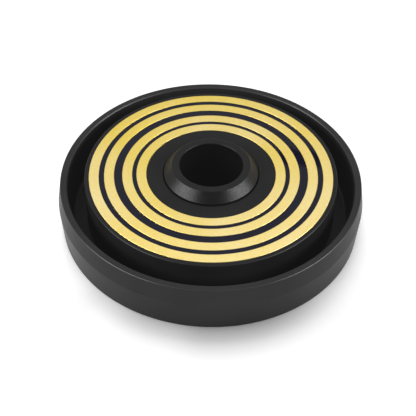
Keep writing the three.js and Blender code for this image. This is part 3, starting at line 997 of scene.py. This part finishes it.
# %% Screw helpers
thread_pitch = 0.45
thread_depth = 0.16
root_share = 0.12
plain_start = 0.5
plain_end = 0.4
neck_relief = 0.05
tip_radius = shank_radius - 0.5
socket_radius = 0.9
socket_share = 0.8


def thread_rings(crest, root, low, high, pitch):
    """Outline corners that run from low to high between the root and the crest of a thread."""
    count = max(1, round((high - low) / pitch))
    step = (high - low) / count
    corners = []
    for i in range(count):
        corners.append((root, low + (i + root_share) * step))
        corners.append((crest, low + (i + 0.5) * step))
        corners.append((root, low + (i + 1 - root_share) * step))
    return corners


def hexagon(low, high, place):
    """The six-sided bar that a socket is cut with."""
    bm = bar(socket_radius, high - low, 6)
    move(bm, place + Vector((0, 0, (low + high) / 2)))
    return bm


def countersunk_screw(node):
    """A countersunk socket screw, with its head down and its tip up."""
    low, high = bottom_of(node), top_of(node)
    place = middle_of(node)
    head_top = low + screw_head_height
    rings = thread_rings(shank_radius, shank_radius - thread_depth, head_top + plain_start,
                         high - plain_end, thread_pitch)
    body = turned([
        (0, low), (screw_head_radius, low, 0.06), (screw_head_radius, low + head_edge, 0.05),
        (shank_radius - neck_relief, head_top), *rings, (tip_radius, high), (0, high),
    ], small_steps, place)
    socket = hexagon(low - 1, low + screw_head_height * socket_share, place)
    piece_from(combined(body, [socket], "DIFFERENCE"), f"{node}_socket", node)


# %% Cap and drum screws
for i in FOUR:
    countersunk_screw(f"cap_screw_{i}")
    countersunk_screw(f"drum_screw_{i}")

# %% [markdown]
# ## Bearing cap
#
# A black steel ring, sunk flush in the underside of the dish, whose raised inner edge clamps the bearing.

# %% Bearing cap
cap_low = bottom_of("bearing_cap")
cap_plate = 1.6
cap_top = cap_low + cap_plate
cap_outer = half_width("bearing_cap")
cap_opening = 18.0
clamp_inner = 19.1
clamp_outer = seat_radius - 0.2
cap_solid = turned([
    (cap_opening, cap_low, 0.3),
    (cap_outer, cap_low, 0.35),
    (cap_outer, cap_top, 0.15),
    (clamp_outer, cap_top),
    (clamp_outer, top_of("bearing_cap"), 0.12),
    (clamp_inner, top_of("bearing_cap"), 0.12),
    (clamp_inner, cap_top),
    (cap_opening, cap_top, 0.2),
], fine_steps // 2)
cap_drills = [countersunk_drill(cap_low, cap_top + 1, place) for place in cap_screw_places]
piece_from(combined(cap_solid, cap_drills, "DIFFERENCE"), "bearing_cap_turned", "bearing_cap")

# %% [markdown]
# ## Mounting inserts
#
# Brass inserts with a thread inside and knurling outside, which grips the plastic. The knurl is made by
# moving every other column of the two outer bands inwards after the spin.

# %% Mounting inserts
insert_bore = 2.0
insert_low = bottom_of("mounting_insert_1")
insert_steps = 48
insert_pitch = 0.6
insert_thread = 0.22
insert_chamfer = 0.35
lead_in = 0.3
waist_depth = 0.4
waist_slope = 0.15
knurl_depth = 0.14
band_gap = (insert_low + 2.5, insert_low + 3.2)


def knurled(bm, outer, steps, depth):
    """Every other column of the outer surface is moved in by the depth of the knurl."""
    for vert in bm.verts:
        reach = vert.co.to_2d().length
        if reach < outer * MM - 1e-7:
            continue
        column = round(math.atan2(vert.co.y, vert.co.x) * steps / (2 * math.pi))
        if column % 2:
            vert.co.xy *= (reach - depth * MM) / reach


for i in FOUR:
    node = f"mounting_insert_{i}"
    inner_thread = thread_rings(insert_bore, insert_bore + insert_thread, insert_low + 2 * lead_in,
                                insert_top - lead_in, insert_pitch)
    insert = turned([
        (insert_bore + lead_in, insert_low),
        (insert_radius - insert_chamfer, insert_low),
        (insert_radius, insert_low + insert_chamfer),
        (insert_radius, band_gap[0]),
        (insert_radius - waist_depth, band_gap[0] + waist_slope),
        (insert_radius - waist_depth, band_gap[1] - waist_slope),
        (insert_radius, band_gap[1]),
        (insert_radius, insert_top - lead_in),
        (insert_radius - lead_in, insert_top),
        (insert_bore + lead_in, insert_top),
        *reversed(inner_thread),
    ], insert_steps)
    knurled(insert, insert_radius, insert_steps, knurl_depth)
    move(insert, insert_places[i - 1])
    piece_from(insert, f"{node}_knurled", node)

# %% [markdown]
# ## Ball bearing
#
# A thin-section bearing: two races with a rounded track in each, twelve balls in a moulded cage, and a
# pressed shield on each side. The tracks are arcs in the outlines of the races.

# %% Races
bearing_low = bottom_of("bearing_outer_race")
ball_level = (bearing_low + bearing_top) / 2
ball_radius = 2.0
pitch_radius = 18.0
track_radius = 2.2
race_gap = 1.1
race_ease = 0.3
land_ease = 0.1
race_steps = 128
track_turn = math.acos(race_gap / track_radius)


def track(side, points=9):
    """The arc of a ball track, on the outer race (side 1) or the inner race (side -1)."""
    turns = [track_turn * (1 - 2 * i / (points - 1)) for i in range(points)]
    return [(pitch_radius + side * track_radius * math.cos(t), ball_level + track_radius * math.sin(t))
            for t in turns]


race_bounds = {"outer": half_width("bearing_outer_race"), "inner": sleeve_radius + seat_gap}
for name, side in (("outer", 1), ("inner", -1)):
    bound, land = race_bounds[name], pitch_radius + side * race_gap
    race = turned([
        (bound, bearing_low, race_ease), (bound, bearing_top, race_ease),
        (land, bearing_top, land_ease), *track(side), (land, bearing_low, land_ease),
    ], race_steps)
    piece_from(race, f"bearing_{name}_race_ground", f"bearing_{name}_race")

# %% Shields
shield_gap = 0.25
sheet_share = 0.3
shield_inner = pitch_radius - race_gap + shield_gap
bend_from, bend_to = shield_inner + 0.5, shield_inner + 0.8
for place, outwards in (("lower", -1), ("upper", 1)):
    node = f"bearing_shield_{place}"
    low, high = bottom_of(node), top_of(node)
    half_sheet = (high - low) * sheet_share / 2
    lip = (high - low) / 2 - half_sheet
    outer = half_width(node)
    out_face = (low + high) / 2 + outwards * lip
    in_face = (low + high) / 2 - outwards * lip
    line = [(shield_inner, in_face), (bend_from, in_face), (bend_to, out_face), (outer, out_face)]
    under = [(radius, height - half_sheet) for radius, height in line]
    over = [(radius, height + half_sheet) for radius, height in reversed(line)]
    piece_from(turned(under + over, race_steps), f"{node}_pressed", node)

# %% Cage and balls
cage_low, cage_high = bottom_of("bearing_cage"), top_of("bearing_cage")
cage_half_wall = 0.4
pocket_radius = ball_radius + 0.12
pocket_depth = 4.0
ball_count = 12
ball_fineness = 4
cage_ease = 0.15
cage_solid = turned(square_section(pitch_radius - cage_half_wall, pitch_radius + cage_half_wall,
                                   cage_low, cage_high, [cage_ease] * 4), race_steps)
pockets = []
for i in range(1, ball_count + 1):
    node = f"bearing_ball_{i}"
    low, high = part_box(node)
    centre = (low + high) / 2
    pocket = bar(pocket_radius, pocket_depth, small_steps)
    towards = centre.to_2d().to_3d().to_track_quat("Z", "Y").to_matrix()
    bmesh.ops.rotate(pocket, verts=pocket.verts[:], cent=(0, 0, 0), matrix=towards)
    bmesh.ops.translate(pocket, verts=pocket.verts[:], vec=centre)
    pockets.append(pocket)
    ball = bmesh.new()
    bmesh.ops.create_icosphere(ball, subdivisions=ball_fineness, radius=ball_radius * MM)
    bmesh.ops.translate(ball, verts=ball.verts[:], vec=centre)
    piece_from(ball, f"{node}_ground", node)
piece_from(combined(cage_solid, pockets, "DIFFERENCE"), "bearing_cage_moulded", "bearing_cage")

# %% [markdown]
# ## Circlip and wave washer
#
# The circlip snaps into the groove of the hub and has two eyes for the pliers. The washer above it is bent
# into three waves and takes up the play. Its waves are put in after the spin, by lifting each vertex by
# the cosine of three times its angle.

# %% Circlip
clip_low = bottom_of("hub_circlip")
clip_high = top_of("hub_circlip")
clip_outer = half_width("hub_circlip")
clip_inner = sleeve_radius - clip_groove + seat_gap
clip_band = 2.3
clip_opening = 7.0
opening_cut = (clip_opening, 10, 5)
clip_ease = 0.1
eye_radius = 0.6
ear_radius = (clip_outer - clip_inner) / 2
ear_middle = (clip_outer + clip_inner) / 2
clip_level = (clip_low + clip_high) / 2
clip_solid = turned(square_section(clip_inner, clip_inner + clip_band, clip_low, clip_high,
                                   [clip_ease] * 4), race_steps)
ear_turn = (clip_opening / 2 + ear_radius) / ear_middle
ears = [Vector((math.sin(side * ear_turn), math.cos(side * ear_turn), 0)) * ear_middle
        for side in (-1, 1)]
ear_section = square_section(0, ear_radius, clip_low, clip_high, (0, clip_ease, clip_ease, 0))
clip_ears = [turned(ear_section, small_steps, place) for place in ears]
clip_solid = combined(clip_solid, clip_ears, "UNION")
clip_cuts = [bored(eye_radius, clip_low - 1, clip_high + 1, small_steps, place) for place in ears]
clip_cuts.append(brick(opening_cut, (0, ear_middle, clip_level)))
piece_from(combined(clip_solid, clip_cuts, "DIFFERENCE"), "hub_circlip_sprung", "hub_circlip")

# %% Wave washer
washer_low, washer_high = bottom_of("wave_washer"), top_of("wave_washer")
washer_sheet = 0.25
washer_wave = 0.1
washer_waves = 3
washer_middle = (washer_low + washer_high) / 2
washer_section = square_section(
    sleeve_radius + crevice, half_width("wave_washer"), washer_middle - washer_sheet / 2,
    washer_middle + washer_sheet / 2, (0, 0.05, 0.05, 0))
washer = turned(washer_section, race_steps)
for vert in washer.verts:
    turn = math.atan2(vert.co.y, vert.co.x)
    vert.co.z += washer_wave * math.cos(washer_waves * turn) * MM
piece_from(washer, "wave_washer_sprung", "wave_washer")

# %% [markdown]
# ## Ring pins and solder joints
#
# One pin goes down from each ring through the board and the web. Its joint is a small cone of solder whose
# side is hollow, because molten solder climbs what it wets.

# %% Pins and solder joints
solder_points = 5
solder_gap = 0.05
solder_waist = 0.15
for i, place in zip(FOUR, pin_places):
    node = f"ring_pin_{i}"
    section = square_section(0, pin_radius, bottom_of(node), top_of(node), (0, 0.3, 0.1, 0))
    piece_from(turned(section, small_steps, place), f"{node}_turned", node)
    node = f"solder_joint_{i}"
    low, high = bottom_of(node), top_of(node)
    inner, outer = pin_radius + solder_gap, radius_of(node)
    waist = inner + solder_waist
    hollow = []
    for step in range(solder_points + 1):
        share = step / solder_points
        hollow.append((waist + (outer - waist) * share ** 2, low + (high - low) * share))
    joint = turned([(inner, low), *hollow, (inner, high)], small_steps, place)
    piece_from(joint, f"{node}_fillet", node)

# %% [markdown]
# ## Terminal block
#
# A small moulded block under the web joins the four leads to the wires from the bore. A beveled block is
# notched at each end between its two rows, and drilled for the leads and for its own screw.

# %% Terminal block
block_low, block_high = bottom_of("terminal_block"), top_of("terminal_block")
block_length = 12.0
block_width = 7.0
lead_radius = 0.7
entry_radius = 1.0
entry_depth = 2.0
lead_drop = 2.1
row_share = 0.25
notch_size = (2.0, 0.6, 2.4)
lead_level = bottom_of("ring_pin_1") - lead_drop
entry_rows = [block_place.y + block_width * share for share in (row_share, -row_share)]
block_solid = brick((block_length, block_width, block_high - block_low),
                    (block_place.x, block_place.y, (block_low + block_high) / 2), ease=0.35)
block_cuts = drills(shank_radius, block_low - 1, block_high + 1, [block_place])
for side in (-1, 1):
    for row in entry_rows:
        entry = bar(entry_radius, 2 * entry_depth, small_steps)
        bmesh.ops.rotate(entry, verts=entry.verts[:], cent=(0, 0, 0),
                         matrix=Matrix.Rotation(math.pi / 2, 3, "Y"))
        move(entry, (side * block_length / 2, row, lead_level))
        block_cuts.append(entry)
    block_cuts.append(brick(notch_size, (side * block_length / 2, block_place.y, block_low)))
piece_from(combined(block_solid, block_cuts, "DIFFERENCE"), "terminal_block_moulded", "terminal_block")

# %% Terminal screw
node = "terminal_screw"
low, high = bottom_of(node), top_of(node)
head_radius = radius_of(node)
head_gap = 0.05
thread_length = 2.8
block_socket = 0.9
head_top = block_low - head_gap
thread_low = high - plain_end - thread_length
rings = thread_rings(shank_radius, shank_radius - thread_depth, thread_low, high - plain_end,
                     thread_pitch)
body = turned([
    (0, low), (head_radius, low, 0.3), (head_radius, head_top, 0.08),
    (shank_radius - neck_relief, head_top), (shank_radius - neck_relief, thread_low - 0.1),
    *rings, (tip_radius, high), (0, high),
], small_steps, block_place)
socket = hexagon(low - 1, low + block_socket, block_place)
piece_from(combined(body, [socket], "DIFFERENCE"), "terminal_screw_socket", node)

# %% [markdown]
# ## Leads
#
# One insulated wire runs from each pin to the block, clipped at both ends, so it has no free length. A
# curve with a round bevel follows the same points as the frame's own lead, and becomes a mesh at once.

# %% Leads
lead_gap = 0.3
lead_inside = 0.7
lead_straight = 3.0
lead_fall = 0.8
lead_shares = (0.12, 0.35, 0.6, 0.8)
for i, pin in zip(FOUR, pin_places):
    node = f"ring_lead_{i}"
    side = -1 if i % 2 else 1
    row = entry_rows[(i - 1) // 2]
    mouth = Vector((side * block_length / 2, row, lead_level))
    straight = mouth + Vector((side * lead_straight, 0, 0))
    pin_tip = bottom_of(f"ring_pin_{i}") - lead_gap
    start_turn, end_turn = math.atan2(pin.y, pin.x), math.atan2(straight.y, straight.x)
    start_reach, end_reach = pin.to_2d().length, straight.to_2d().length
    route = [Vector((pin.x, pin.y, pin_tip)), Vector((pin.x, pin.y, pin_tip - lead_fall))]
    for share in lead_shares:
        turn = start_turn + (end_turn - start_turn) * share
        reach = start_reach + (end_reach - start_reach) * share
        route.append(Vector((reach * math.cos(turn), reach * math.sin(turn), lead_level)))
    route += [straight, mouth - Vector((side * lead_inside, 0, 0))]
    curve = bpy.data.curves.new("lead_route", "CURVE")
    curve.dimensions = "3D"
    curve.bevel_depth = lead_radius * MM
    curve.bevel_resolution = 4
    curve.resolution_u = 10
    curve.use_fill_caps = True
    spline = curve.splines.new("BEZIER")
    spline.bezier_points.add(len(route) - 1)
    for knot, point in zip(spline.bezier_points, route):
        knot.co = point * MM
        knot.handle_left_type = knot.handle_right_type = "AUTO"
    carrier = in_scene("lead_route", curve)
    lead = bmesh.new()
    lead.from_mesh(carrier.evaluated_get(bpy.context.evaluated_depsgraph_get()).to_mesh())
    bpy.data.objects.remove(carrier)
    bpy.data.curves.remove(curve)
    weld(lead)
    piece_from(lead, f"{node}_wire", node)
print(len(pieces_made), "pieces made")
